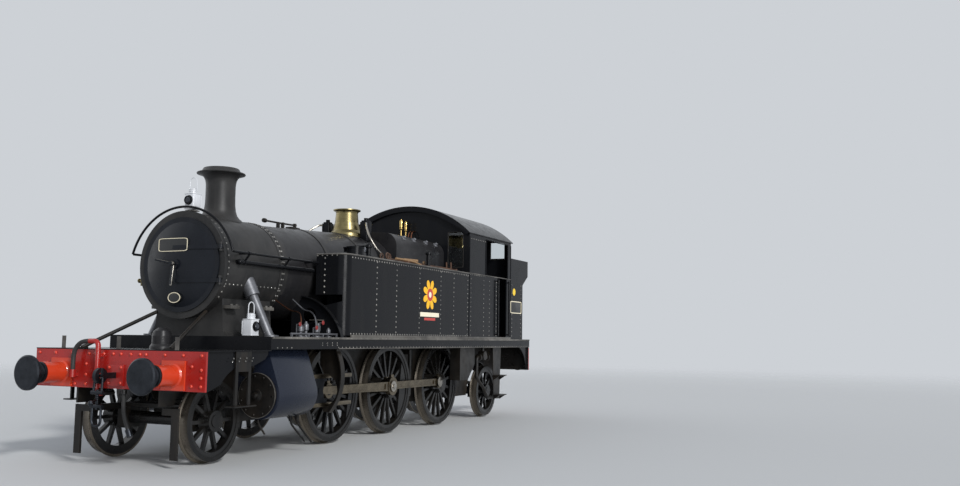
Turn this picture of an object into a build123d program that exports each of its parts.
from build123d import *
import math
import os

# A 2-6-2 side-tank steam locomotive, in millimetres, at its real size.
# X runs forward to the chimney end, Y to the left-hand side, Z up.
# The origin is on the floor under the flange tips, midway between the two buffer beams.

# Driving dimensions: wheels and rails
FLANGE_HEIGHT = 28.0
FLANGE_WIDTH = 32.0
BACK_TO_BACK = 1360.0
TYRE_WIDTH = 140.0
TYRE_THICKNESS = 62.0
RIM_THICKNESS = 48.0
DRIVER_DIAMETER = 1410.0
CARRYING_DIAMETER = 965.0
DRIVER_AXLE_RADIUS = 95.0
CARRYING_AXLE_RADIUS = 78.0
DRIVER_SPOKES = 16
CARRYING_SPOKES = 10
RUNNING_CLEARANCE = 0.08

# Driving dimensions: spacing along the engine
LENGTH_OVER_BEAMS = 10027.0
FRONT_OVERHANG = 3370.0
PONY_SPACING = 2591.0
FIRST_COUPLED_SPACING = 1676.0
SECOND_COUPLED_SPACING = 1829.0
REAR_SPACING = 2083.0
PONY_PIVOT_DISTANCE = 1700.0
REAR_PIVOT_DISTANCE = 1190.0

# Driving dimensions: motion
CRANK_RADIUS = 305.0
LEFT_CRANK_ANGLE = 8.0
CYLINDER_RISE = 64.0
CONNECTING_ROD_LENGTH = 2100.0
CRANK_PIN_RADIUS = 62.0
CRANK_BOSS_PROUD = 45.0
COUPLING_ROD_GAP = 22.0
COUPLING_ROD_THICKNESS = 70.0
COUPLING_ROD_DEPTH = 118.0
ROD_EYE_RADIUS = 108.0
CONNECTING_ROD_GAP = 24.0
CONNECTING_ROD_THICKNESS = 76.0
BIG_END_RADIUS = 142.0
PIN_CAP_THICKNESS = 16.0
WORKING_GAP = 6.0
CYLINDER_LENGTH = 910.0
CYLINDER_RADIUS = 292.0
CYLINDER_BACK_FROM_PIN = 408.0
PISTON_ROD_RADIUS = 42.0
CROSSHEAD_LENGTH = 360.0
CROSSHEAD_HEIGHT = 330.0
SLIDE_BAR_HEIGHT = 62.0
SLIDE_BAR_WIDTH = 92.0

# Driving dimensions: frames, deck and beams
FRAME_HALF_SPACING = 622.0
FRAME_THICKNESS = 28.0
FRAME_BOTTOM_ABOVE_RAIL = 420.0
DECK_HEIGHT_ABOVE_RAIL = 1505.0
FRONT_DECK_ABOVE_RAIL = 1340.0
DECK_OVER_CYLINDER = 9.0
PLATE = 12.0
VALANCE_DEPTH = 158.0
RISER_FROM_BEAM = 1180.0
BEAM_DEPTH = 450.0
BEAM_THICKNESS = 32.0
BUFFER_HEIGHT_ABOVE_RAIL = 1055.0
BUFFER_HALF_SPACING = 864.0
BUFFER_LENGTH = 530.0
BUFFER_HEAD_RADIUS = 205.0
BUFFER_HEAD_THICKNESS = 42.0
STOCK_RADIUS = 122.0
STOCK_LENGTH = 300.0
PLUNGER_RADIUS = 82.0

# Driving dimensions: boiler and fittings
BOILER_CENTRE_ABOVE_RAIL = 2416.0
SMOKEBOX_RADIUS = 680.0
SMOKEBOX_WALL = 16.0
SMOKEBOX_RING = 16.0
SMOKEBOX_LENGTH = 1297.0
SMOKEBOX_FRONT_FROM_BEAM = 1013.0
DOOR_RADIUS = 612.0
DOOR_DISH = 96.0
DOOR_THICKNESS = 16.0
DOOR_LAP = 46.0
DOOR_CLEARANCE = 0.4
BARREL_RADIUS_FRONT = 662.0
BARREL_RADIUS_REAR = 742.0
BARREL_LENGTH = 2960.0
FIREBOX_HALF_WIDTH = 770.0
FIREBOX_TOP_ABOVE_RAIL = 3300.0
FIREBOX_SHOULDER = 240.0
CHIMNEY_BACK_FROM_SMOKEBOX_FRONT = 702.0
CHIMNEY_TOP_ABOVE_RAIL = 3826.0
BONNET_TOP_ABOVE_RAIL = 3626.0
BONNET_AHEAD_OF_FIREBOX = 340.0

# Driving dimensions: tanks, cab and bunker
TANK_FRONT_FROM_BEAM = 2905.0
TANK_TOP_ABOVE_RAIL = 2700.0
TANK_BASE_GAP = 30.0
TANK_OUTER = 1290.0
TANK_INNER = 786.0
TANK_CORNER = 70.0
CAB_FRONT_FROM_BEAM = 7060.0
CAB_LENGTH = 1980.0
CAB_WALL = 12.0
EAVE_ABOVE_RAIL = 3432.0
ROOF_RISE = 520.0
ROOF_THICKNESS = 14.0
WAIST_ABOVE_RAIL = 2690.0
BUNKER_TOP_ABOVE_RAIL = 3125.0
BUNKER_FLARE_START_ABOVE_RAIL = 2620.0
BUNKER_FLARE_END_ABOVE_RAIL = 2810.0
BUNKER_LOWER_REAR_FROM_BEAM = 330.0
BUNKER_FLARE = 285.0
DOORWAY_FRONT_FROM_CAB = 1330.0
DOORWAY_WIDTH = 420.0

# Stations along X, worked out from the dimensions above
BEAM_FRONT = LENGTH_OVER_BEAMS / 2
BEAM_REAR = -BEAM_FRONT
LEADING_X = BEAM_FRONT - FRONT_OVERHANG
DRIVING_X = LEADING_X - FIRST_COUPLED_SPACING
TRAILING_X = DRIVING_X - SECOND_COUPLED_SPACING
PONY_X = LEADING_X + PONY_SPACING
REAR_X = TRAILING_X - REAR_SPACING
PONY_PIVOT_X = PONY_X - PONY_PIVOT_DISTANCE
REAR_PIVOT_X = REAR_X + REAR_PIVOT_DISTANCE
SMOKEBOX_FRONT = BEAM_FRONT - SMOKEBOX_FRONT_FROM_BEAM
SMOKEBOX_REAR = SMOKEBOX_FRONT - SMOKEBOX_LENGTH
BARREL_REAR = SMOKEBOX_REAR - BARREL_LENGTH
CHIMNEY_X = SMOKEBOX_FRONT - CHIMNEY_BACK_FROM_SMOKEBOX_FRONT
BONNET_X = BARREL_REAR + BONNET_AHEAD_OF_FIREBOX
TANK_FRONT = BEAM_FRONT - TANK_FRONT_FROM_BEAM
CAB_FRONT = BEAM_FRONT - CAB_FRONT_FROM_BEAM
CAB_REAR = CAB_FRONT - CAB_LENGTH
RISER_X = BEAM_FRONT - RISER_FROM_BEAM

# Heights, from the floor under the flange tips
RAIL = FLANGE_HEIGHT
DRIVER_Z = RAIL + DRIVER_DIAMETER / 2
CARRYING_Z = RAIL + CARRYING_DIAMETER / 2
DECK_TOP = RAIL + DECK_HEIGHT_ABOVE_RAIL
DECK_BOTTOM = DECK_TOP - PLATE
VALANCE_BOTTOM = DECK_TOP - VALANCE_DEPTH
FRONT_DECK_TOP = RAIL + FRONT_DECK_ABOVE_RAIL
BEAM_TOP = FRONT_DECK_TOP - PLATE
BEAM_BOTTOM = BEAM_TOP - BEAM_DEPTH
FRAME_BOTTOM = RAIL + FRAME_BOTTOM_ABOVE_RAIL
BUFFER_Z = RAIL + BUFFER_HEIGHT_ABOVE_RAIL
BOILER_Z = RAIL + BOILER_CENTRE_ABOVE_RAIL
FIREBOX_TOP = RAIL + FIREBOX_TOP_ABOVE_RAIL
CHIMNEY_TOP = RAIL + CHIMNEY_TOP_ABOVE_RAIL
BONNET_TOP = RAIL + BONNET_TOP_ABOVE_RAIL
TANK_TOP = RAIL + TANK_TOP_ABOVE_RAIL
TANK_BASE = DECK_TOP + TANK_BASE_GAP
EAVE = RAIL + EAVE_ABOVE_RAIL
WAIST = RAIL + WAIST_ABOVE_RAIL
BUNKER_TOP = RAIL + BUNKER_TOP_ABOVE_RAIL
CYLINDER_Z = DRIVER_Z + CYLINDER_RISE

# Planes across Y, from the wheel faces outwards
WHEEL_BACK = BACK_TO_BACK / 2
WHEEL_FACE = WHEEL_BACK + TYRE_WIDTH
BOSS_FACE = WHEEL_FACE + CRANK_BOSS_PROUD
COUPLING_INNER = BOSS_FACE + COUPLING_ROD_GAP
COUPLING_OUTER = COUPLING_INNER + COUPLING_ROD_THICKNESS
CONNECTING_INNER = COUPLING_OUTER + CONNECTING_ROD_GAP
CONNECTING_OUTER = CONNECTING_INNER + CONNECTING_ROD_THICKNESS
MOTION_Y = (CONNECTING_INNER + CONNECTING_OUTER) / 2
DECK_HALF_WIDTH = MOTION_Y + CYLINDER_RADIUS + DECK_OVER_CYLINDER
FRAME_OUTER = FRAME_HALF_SPACING + FRAME_THICKNESS

# Crank angles are measured upwards from straight ahead; the right-hand crank trails by a quarter turn
CRANK_ANGLES = {"left": LEFT_CRANK_ANGLE, "right": LEFT_CRANK_ANGLE - 90.0}
SIDES = {"left": 1.0, "right": -1.0}


def box(x0, x1, y0, y1, z0, z1):
    """A block between two corners."""
    centre = Pos((x0 + x1) / 2, (y0 + y1) / 2, (z0 + z1) / 2)
    return centre * Box(abs(x1 - x0), abs(y1 - y0), abs(z1 - z0))


def bar_x(x0, x1, y, z, radius):
    """A round bar along X."""
    return Pos((x0 + x1) / 2, y, z) * Rot(0, 90, 0) * Cylinder(radius, abs(x1 - x0))


def bar_y(y0, y1, x, z, radius):
    """A round bar along Y."""
    return Pos(x, (y0 + y1) / 2, z) * Rot(90, 0, 0) * Cylinder(radius, abs(y1 - y0))


def bar_z(z0, z1, x, y, radius):
    """A round bar along Z."""
    return Pos(x, y, (z0 + z1) / 2) * Cylinder(radius, abs(z1 - z0))


def bar_between(start, end, radius):
    """A round bar from one point to another."""
    line = Line(start, end)
    return sweep(Plane(origin=start, z_dir=line % 0) * Circle(radius), path=line)


def pipe(points, radius, bend):
    """A pipe through a few points, with one bend radius."""
    path = FilletPolyline(*points, radius=bend)
    return sweep(Plane(origin=path @ 0, z_dir=path % 0) * Circle(radius), path=path)


def side_plate(points, y0, y1):
    """A plate drawn in X and Z and given its thickness across Y."""
    face = make_face(Polyline(*[(x, y0, z) for x, z in points], close=True))
    return extrude(face, amount=y1 - y0, dir=(0, 1, 0))


def cross_plate(points, x0, x1):
    """A plate drawn in Y and Z and given its length along X."""
    face = make_face(Polyline(*[(x0, y, z) for y, z in points], close=True))
    return extrude(face, amount=x1 - x0, dir=(1, 0, 0))


def flat_plate(points, z0, z1):
    """A plate drawn in X and Y and given its thickness upwards."""
    face = make_face(Polyline(*[(x, y, z0) for x, y in points], close=True))
    return extrude(face, amount=z1 - z0, dir=(0, 0, 1))


def turned(profile, x, y, z, axis):
    """A turned piece: profile lists (radius, distance) and axis is X, Y or Z."""
    face = make_face(Polyline(*[(r, 0, h) for r, h in profile], close=True))
    solid = revolve(face, axis=Axis.Z)
    turn = {"X": Rot(0, 90, 0), "Y": Rot(-90, 0, 0), "Z": Rot(0, 0, 0)}[axis]
    return Pos(x, y, z) * turn * solid


def other_side(shape):
    """The same shape on the right-hand side."""
    return mirror(shape, about=Plane.XZ)


def both_sides(shape):
    """A left-hand shape and its mirror image, as two solids of one piece."""
    return Compound(children=list(shape.solids()) + list(other_side(shape).solids()))


def group(*shapes):
    """Several solids kept apart in one piece."""
    solids = []
    for shape in shapes:
        solids += list(shape.solids())
    return Compound(children=solids)


NODES = {}


def keep(name, shape):
    """Registers one finished piece under its plain name."""
    NODES[name] = shape


# Wheels, each pressed on its axle, with the crank pins pressed into the bosses
HUB_PROUD = 26.0
SPOKE_WIDTH = 44.0
DRIVER_HUB_RADIUS = 172.0
CARRYING_HUB_RADIUS = 128.0
DRIVER_SPOKE_DEPTH = 66.0
CARRYING_SPOKE_DEPTH = 60.0


def left_wheel(tread, spokes, hub_radius, spoke_depth):
    """One spoked wheel on the left, with its back face at the back-to-back gauge."""
    radius = tread / 2
    rim_inner = radius - TYRE_THICKNESS - RIM_THICKNESS
    tyre = turned(
        [
            (rim_inner, 0),
            (radius + FLANGE_HEIGHT - 6, 0),
            (radius + FLANGE_HEIGHT, FLANGE_WIDTH * 0.3),
            (radius + FLANGE_HEIGHT * 0.7, FLANGE_WIDTH * 0.75),
            (radius, FLANGE_WIDTH * 1.1),
            (radius - 5, TYRE_WIDTH),
            (radius - TYRE_THICKNESS, TYRE_WIDTH),
            (radius - TYRE_THICKNESS, TYRE_WIDTH - 8),
            (rim_inner, TYRE_WIDTH - 14),
        ],
        0, WHEEL_BACK, 0, "Y",
    )
    hub = bar_y(WHEEL_BACK, WHEEL_FACE + HUB_PROUD, 0, 0, hub_radius)
    middle = WHEEL_BACK + TYRE_WIDTH * 0.48
    wheel = tyre + hub
    reach = rim_inner + RIM_THICKNESS / 3
    for number in range(spokes):
        spoke = cross_plate(
            [
                (middle - spoke_depth / 2, hub_radius * 0.8),
                (middle + spoke_depth / 2, hub_radius * 0.8),
                (middle + spoke_depth * 0.36, reach),
                (middle - spoke_depth * 0.36, reach),
            ],
            -SPOKE_WIDTH / 2, SPOKE_WIDTH / 2,
        )
        wheel += Rot(0, 360.0 * (number + 0.5) / spokes, 0) * spoke
    return wheel


def crank_place(side):
    """The crank pin's place relative to the axle, as X and Z."""
    angle = math.radians(CRANK_ANGLES[side])
    return CRANK_RADIUS * math.cos(angle), CRANK_RADIUS * math.sin(angle)


BALANCE_ARC_DEPTH = 120.0
BALANCE_INSET = 24.0
CRANK_BOSS_RADIUS = 128.0
CRANK_WEB_HALF = 110.0
BOSS_BACK_INSET = 30.0
PIN_CAP_LAP = 22.0
PIN_CAP_GAP = 4.0
AXLE_END_PROUD = 8.0


def balance_weight(side, crescent):
    """A crescent cast between the spokes, opposite the crank."""
    rim_inner = DRIVER_DIAMETER / 2 - TYRE_THICKNESS - RIM_THICKNESS
    y0 = WHEEL_BACK + BALANCE_INSET
    y1 = WHEEL_FACE - BALANCE_INSET
    disc = bar_y(y0, y1, 0, 0, rim_inner + RIM_THICKNESS / 3)
    reach = DRIVER_DIAMETER
    piece = disc - box(-reach, rim_inner - crescent, y0 - 1, y1 + 1, -reach, reach)
    return Rot(0, 180.0 - CRANK_ANGLES[side], 0) * piece


def axle(radius, end):
    """A plain axle with its wheel seats, as one solid."""
    return bar_y(-end, end, 0, 0, radius)


def driver_wheelset(x, pin_end, cap, crescent):
    """A coupled wheelset: axle, two wheels with crank bosses, and two crank pins."""
    solids = [axle(DRIVER_AXLE_RADIUS, BOSS_FACE + AXLE_END_PROUD)]
    pin_start = WHEEL_BACK + BOSS_BACK_INSET
    for side, sign in SIDES.items():
        dx, dz = crank_place(side)
        wheel = left_wheel(DRIVER_DIAMETER, DRIVER_SPOKES, DRIVER_HUB_RADIUS, DRIVER_SPOKE_DEPTH)
        wheel += balance_weight(side, crescent)
        wheel += bar_y(pin_start, BOSS_FACE, dx, dz, CRANK_BOSS_RADIUS)
        web = box(0, CRANK_RADIUS, pin_start, BOSS_FACE, -CRANK_WEB_HALF, CRANK_WEB_HALF)
        wheel += Rot(0, -CRANK_ANGLES[side], 0) * web
        wheel += bar_y(WHEEL_FACE, BOSS_FACE, 0, 0, DRIVER_HUB_RADIUS - 12)
        wheel -= bar_y(WHEEL_BACK - 1, BOSS_FACE + 1, 0, 0, DRIVER_AXLE_RADIUS + RUNNING_CLEARANCE)
        wheel -= bar_y(pin_start - 1, BOSS_FACE + 1, dx, dz, CRANK_PIN_RADIUS + RUNNING_CLEARANCE)
        pin = bar_y(pin_start, pin_end, dx, dz, CRANK_PIN_RADIUS)
        if cap:
            pin += bar_y(COUPLING_OUTER + PIN_CAP_GAP, pin_end, dx, dz, CRANK_PIN_RADIUS + PIN_CAP_LAP)
        solids += [wheel, pin] if sign > 0 else [other_side(wheel), other_side(pin)]
    return Pos(x, 0, DRIVER_Z) * group(*solids)


def carrying_wheelset(x):
    """A pony or radial wheelset: a plain axle and two wheels."""
    wheel = left_wheel(CARRYING_DIAMETER, CARRYING_SPOKES, CARRYING_HUB_RADIUS, CARRYING_SPOKE_DEPTH)
    end = WHEEL_FACE + HUB_PROUD
    wheel -= bar_y(WHEEL_BACK - 1, end + 1, 0, 0, CARRYING_AXLE_RADIUS + RUNNING_CLEARANCE)
    return Pos(x, 0, CARRYING_Z) * group(axle(CARRYING_AXLE_RADIUS, end + AXLE_END_PROUD), both_sides(wheel))


END_PIN = COUPLING_OUTER + PIN_CAP_GAP + PIN_CAP_THICKNESS
DRIVING_PIN = COUPLING_OUTER + PIN_CAP_GAP
LEADING_PIN = COUPLING_OUTER + PIN_CAP_GAP / 2
keep("leading_wheelset", driver_wheelset(LEADING_X, LEADING_PIN, False, BALANCE_ARC_DEPTH))
keep("driving_wheelset", driver_wheelset(DRIVING_X, DRIVING_PIN, False, BALANCE_ARC_DEPTH * 1.8))
keep("trailing_wheelset", driver_wheelset(TRAILING_X, END_PIN, True, BALANCE_ARC_DEPTH))
keep("pony_wheelset", carrying_wheelset(PONY_X))
keep("rear_wheelset", carrying_wheelset(REAR_X))

# Coupling rods, one stiff rod to a side with its three eyes
FLUTE_DEPTH = 14.0
FLUTE_MARGIN = 26.0


def coupling_rod(side):
    """The rod across the three crank pins, fluted between the eyes."""
    dx, dz = crank_place(side)
    z = DRIVER_Z + dz
    half = COUPLING_ROD_DEPTH / 2
    stations = [TRAILING_X + dx, DRIVING_X + dx, LEADING_X + dx]
    rod = box(stations[0], stations[2], COUPLING_INNER + 8, COUPLING_OUTER - 8, z - half, z + half)
    for rear, front in zip(stations, stations[1:]):
        start = rear + ROD_EYE_RADIUS * 1.7
        end = front - ROD_EYE_RADIUS * 1.7
        outer = COUPLING_OUTER - 8
        margin = half - FLUTE_MARGIN
        rod -= box(start, end, outer - FLUTE_DEPTH, outer + 1, z - margin, z + margin)
    for x in stations:
        rod += bar_y(COUPLING_INNER, COUPLING_OUTER, x, z, ROD_EYE_RADIUS)
        rod += box(x - 34, x + 34, COUPLING_INNER + 14, COUPLING_OUTER - 14, z, z + ROD_EYE_RADIUS + 34)
    for x in stations:
        rod -= bar_y(COUPLING_INNER - 1, COUPLING_OUTER + 1, x, z, CRANK_PIN_RADIUS + RUNNING_CLEARANCE)
    return rod


keep("coupling_rod_left", coupling_rod("left"))
keep("coupling_rod_right", other_side(coupling_rod("right")))

# Connecting rods, crossheads and piston rods
LITTLE_END_RADIUS = 78.0
GUDGEON_RADIUS = 40.0


def crosshead_x(side):
    """The little end's place along X for the crank as it stands."""
    dx, dz = crank_place(side)
    run = math.sqrt(CONNECTING_ROD_LENGTH ** 2 - (dz - CYLINDER_RISE) ** 2)
    return DRIVING_X + dx + run


def connecting_rod(side):
    """A fluted tapering rod from the crank pin to the crosshead, closed by a cap at the big end."""
    dx, dz = crank_place(side)
    big = (DRIVING_X + dx, DRIVER_Z + dz)
    little = (crosshead_x(side), CYLINDER_Z)
    angle = math.degrees(math.atan2(little[1] - big[1], little[0] - big[0]))
    length = CONNECTING_ROD_LENGTH
    inner = CONNECTING_INNER + 10
    outer = CONNECTING_OUTER - 10
    body = side_plate([(0, -72), (length, -50), (length, 50), (0, 72)], inner, outer)
    flute = side_plate(
        [(BIG_END_RADIUS * 1.5, -44), (length - 200, -28), (length - 200, 28), (BIG_END_RADIUS * 1.5, 44)],
        outer - FLUTE_DEPTH, outer + 1,
    )
    body -= flute
    body += bar_y(CONNECTING_INNER, CONNECTING_OUTER, 0, 0, BIG_END_RADIUS)
    body += bar_y(CONNECTING_OUTER, CONNECTING_OUTER + PIN_CAP_THICKNESS, 0, 0, CRANK_PIN_RADIUS + 30)
    body += box(-40, 40, inner + 6, outer - 6, 0, BIG_END_RADIUS + 40)
    body += bar_y(inner, outer, length, 0, LITTLE_END_RADIUS)
    body -= bar_y(inner - 20, outer + 20, length, 0, GUDGEON_RADIUS + RUNNING_CLEARANCE)
    rod = Pos(big[0], 0, big[1]) * Rot(0, -angle, 0) * body
    return rod


CHEEK_THICKNESS = 22.0
SLIPPER_THICKNESS = 40.0
CROSSHEAD_BLOCK_HALF = 70.0
SLIDE_GAP = 0.4
PISTON_ROD_LENGTH = 1090.0
CHEEK_INNER = CONNECTING_INNER + 10 - WORKING_GAP
CHEEK_OUTER = CONNECTING_OUTER - 10 + WORKING_GAP


def crosshead(side):
    """Two cheeks with slippers above and below, the gudgeon pin and the piston rod."""
    x = crosshead_x(side)
    z = CYLINDER_Z
    inner = CHEEK_INNER - CHEEK_THICKNESS
    outer = CHEEK_OUTER + CHEEK_THICKNESS
    front = x + CROSSHEAD_LENGTH / 2
    rear = x - CROSSHEAD_LENGTH / 2
    half = CROSSHEAD_HEIGHT / 2
    inside = half - SLIPPER_THICKNESS
    piece = bar_y(inner, outer + 10, x, z, GUDGEON_RADIUS)
    for y0, y1 in ((inner, CHEEK_INNER), (CHEEK_OUTER, outer)):
        piece += side_plate(
            [
                (rear + 60, z + inside), (x - 84, z), (rear + 60, z - inside), (front, z - inside),
                (front, z + inside),
            ],
            y0, y1,
        )
    piece += box(rear, front, inner, outer, z + inside, z + half)
    piece += box(rear, front, inner, outer, z - half, z - inside)
    block = CROSSHEAD_BLOCK_HALF
    piece += box(x + LITTLE_END_RADIUS + 16, front, inner, outer, z - block, z + block)
    piece += bar_x(front - 4, front + PISTON_ROD_LENGTH, MOTION_Y, z, PISTON_ROD_RADIUS)
    return piece


keep("connecting_rods", group(connecting_rod("left"), other_side(connecting_rod("right"))))
keep("crossheads", group(crosshead("left"), other_side(crosshead("right"))))

# Cylinders, covers, cladding, slide bars and motion brackets
CYLINDER_REAR = DRIVING_X + CRANK_RADIUS + CONNECTING_ROD_LENGTH + CYLINDER_BACK_FROM_PIN
CYLINDER_FRONT = CYLINDER_REAR + CYLINDER_LENGTH
COVER_THICKNESS = 34.0
CLADDING_TOP_HALF_WIDTH = DECK_HALF_WIDTH - 16.0
STEAM_CHEST_HALF_HEIGHT = 150.0
GLAND_RADIUS = 92.0
GLAND_LENGTH = 70.0


def left_cylinder():
    """Cylinder casting with flat cladding that comes down from the deck edge round the barrel."""
    barrel_y = MOTION_Y
    face = FRAME_OUTER
    rear = CYLINDER_REAR + COVER_THICKNESS
    front = CYLINDER_FRONT - COVER_THICKNESS
    tangent = math.radians(8.0)
    outer_y = barrel_y + CYLINDER_RADIUS * math.cos(tangent)
    outer_z = CYLINDER_Z + CYLINDER_RADIUS * math.sin(tangent)
    body = bar_x(rear, front, barrel_y, CYLINDER_Z, CYLINDER_RADIUS)
    body += cross_plate(
        [
            (face, DECK_BOTTOM), (CLADDING_TOP_HALF_WIDTH, DECK_BOTTOM),
            (CLADDING_TOP_HALF_WIDTH, VALANCE_BOTTOM), (outer_y, outer_z), (barrel_y, CYLINDER_Z),
            (face, CYLINDER_Z - STEAM_CHEST_HALF_HEIGHT),
        ],
        rear, front,
    )
    for x0, x1 in ((CYLINDER_REAR, rear), (front, CYLINDER_FRONT)):
        body += bar_x(x0, x1, barrel_y, CYLINDER_Z, CYLINDER_RADIUS - 14)
    body += bar_x(CYLINDER_REAR - GLAND_LENGTH, CYLINDER_REAR, barrel_y, CYLINDER_Z, GLAND_RADIUS)
    chest_z = CYLINDER_Z + CYLINDER_RADIUS + 60
    body += bar_x(CYLINDER_REAR, CYLINDER_FRONT, FRAME_OUTER + 175, chest_z, 120)
    body -= bar_x(
        CYLINDER_REAR - GLAND_LENGTH - 1, CYLINDER_FRONT - 26, barrel_y, CYLINDER_Z,
        PISTON_ROD_RADIUS + RUNNING_CLEARANCE,
    )
    return body


keep("cylinders", both_sides(left_cylinder()))

SLIDE_BAR_REAR_GAP = 60.0
MOTION_BRACKET_X = LEADING_X + CRANK_RADIUS + ROD_EYE_RADIUS + 34.0
BRACKET_THICKNESS = 30.0
BRACKET_INSIDE_DECK = 31.0
BRACKET_RIM = 18.0
BRACKET_RIM_WIDTH = 96.0


def bracket_face(x, inset):
    """The C-shaped face of a motion bracket, hung from the deck and open towards the crosshead."""
    half = CROSSHEAD_HEIGHT / 2 + SLIDE_GAP
    top = CYLINDER_Z + half + SLIDE_BAR_HEIGHT
    bottom = CYLINDER_Z - half - SLIDE_BAR_HEIGHT
    inner = BOSS_FACE + 40
    side = MOTION_Y + SLIDE_BAR_WIDTH / 2
    near = MOTION_Y - SLIDE_BAR_WIDTH / 2
    reach = DECK_HALF_WIDTH - BRACKET_INSIDE_DECK - inset
    shoulder = (x, reach - 70, DECK_BOTTOM - 180)
    foot = (x, side + 40, bottom - 90 + inset)
    edges = [
        Line((x, inner, DECK_BOTTOM), (x, reach - 70, DECK_BOTTOM)),
        Line((x, reach - 70, DECK_BOTTOM), shoulder),
        ThreePointArc(shoulder, (x, reach, CYLINDER_Z + 60), foot),
        Line(foot, (x, near, bottom - 70 + inset)),
        Line((x, near, bottom - 70 + inset), (x, near, bottom)),
        Line((x, near, bottom), (x, side, bottom)),
        Line((x, side, bottom), (x, side, bottom + 30)),
        ThreePointArc((x, side, bottom + 30), (x, reach - 90, CYLINDER_Z + 10), (x, side, top - 24)),
        Line((x, side, top - 24), (x, side, top)),
        Line((x, side, top), (x, near, top)),
        Line((x, near, top), (x, inner, top + 120)),
        Line((x, inner, top + 120), (x, inner, DECK_BOTTOM)),
    ]
    return make_face(edges)


def left_slide_bars():
    """The two bars above and below the crosshead, and the curved bracket that holds their middle."""
    half = CROSSHEAD_HEIGHT / 2 + SLIDE_GAP
    little_end = DRIVING_X - CRANK_RADIUS + CONNECTING_ROD_LENGTH
    back = little_end - CROSSHEAD_LENGTH / 2 - SLIDE_BAR_REAR_GAP
    y0 = MOTION_Y - SLIDE_BAR_WIDTH / 2
    y1 = MOTION_Y + SLIDE_BAR_WIDTH / 2
    upper = box(back, CYLINDER_REAR, y0, y1, CYLINDER_Z + half, CYLINDER_Z + half + SLIDE_BAR_HEIGHT)
    lower = box(back, CYLINDER_REAR, y0, y1, CYLINDER_Z - half - SLIDE_BAR_HEIGHT, CYLINDER_Z - half)
    bracket = extrude(bracket_face(MOTION_BRACKET_X, 0), amount=BRACKET_THICKNESS, dir=(1, 0, 0))
    rim_outer = extrude(bracket_face(MOTION_BRACKET_X, 0), amount=BRACKET_RIM_WIDTH, dir=(1, 0, 0))
    rim_inner = extrude(
        bracket_face(MOTION_BRACKET_X - 1, BRACKET_RIM), amount=BRACKET_RIM_WIDTH + 2, dir=(1, 0, 0)
    )
    beyond = box(
        MOTION_BRACKET_X, MOTION_BRACKET_X + BRACKET_RIM_WIDTH, MOTION_Y + SLIDE_BAR_WIDTH,
        DECK_HALF_WIDTH, 0,
        DECK_BOTTOM - 120,
    )
    rim = (rim_outer - rim_inner) & beyond
    return upper + lower + bracket + rim


keep("slide_bars", both_sides(left_slide_bars()))

# Main frames with stretchers, and the coupled axleboxes
AXLEBOX_HALF = 150.0
HORN_CLEARANCE = 0.3
HORN_HALF = AXLEBOX_HALF + HORN_CLEARANCE
FRAME_FRONT = BEAM_FRONT - BEAM_THICKNESS
FRAME_REAR = BEAM_REAR + BEAM_THICKNESS
FRAME_TOP = BEAM_TOP
CARRYING_ARCH = 90.0
COUPLED = (LEADING_X, DRIVING_X, TRAILING_X)
ARCH_HALF = CARRYING_DIAMETER / 2 + FLANGE_HEIGHT + CARRYING_ARCH


def main_frames():
    """Two plates cut up over the carrying wheels, with horn gaps for the coupled axles."""
    plate = box(FRAME_REAR, FRAME_FRONT, FRAME_HALF_SPACING, FRAME_OUTER, FRAME_BOTTOM, DECK_BOTTOM)
    plate -= box(
        RISER_X - PLATE, FRAME_FRONT + 1, FRAME_HALF_SPACING - 1, FRAME_OUTER + 1, BEAM_TOP, DECK_TOP
    )
    for x in (PONY_X, REAR_X):
        arch_top = 2 * CARRYING_Z + FLANGE_HEIGHT
        arch = bar_y(FRAME_HALF_SPACING - 1, FRAME_OUTER + 1, x, CARRYING_Z, ARCH_HALF - 40)
        arch += box(x - ARCH_HALF, x + ARCH_HALF, FRAME_HALF_SPACING - 1, FRAME_OUTER + 1, 0, CARRYING_Z)
        plate -= arch
        ends = (FRAME_FRONT, x) if x > 0 else (x, FRAME_REAR)
        low, high = min(ends), max(ends)
        plate -= box(low - 1, high + 1, FRAME_HALF_SPACING - 1, FRAME_OUTER + 1, 0, arch_top - 330)
    for x in COUPLED:
        plate -= box(
            x - HORN_HALF, x + HORN_HALF, FRAME_HALF_SPACING - 1, FRAME_OUTER + 1, 0, DRIVER_Z + HORN_HALF
        )
    stretchers = (
        (FRAME_FRONT - 40, FRAME_FRONT, BEAM_BOTTOM + 60, BEAM_TOP),
        (MOTION_BRACKET_X, MOTION_BRACKET_X + 40, FRAME_BOTTOM + 260, DECK_BOTTOM),
        ((LEADING_X + DRIVING_X) / 2, (LEADING_X + DRIVING_X) / 2 + 40, FRAME_BOTTOM + 60, DECK_BOTTOM - 200),
        ((DRIVING_X + TRAILING_X) / 2, (DRIVING_X + TRAILING_X) / 2 + 40, FRAME_BOTTOM + 60, DECK_BOTTOM - 200),
        (FRAME_REAR, FRAME_REAR + 40, BEAM_BOTTOM + 60, BEAM_TOP),
    )
    half = FRAME_HALF_SPACING
    return group(both_sides(plate), *[box(x0, x1, -half, half, z0, z1) for x0, x1, z0, z1 in stretchers])


keep("main_frames", main_frames())

BOX_INNER = FRAME_HALF_SPACING - 120.0


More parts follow.
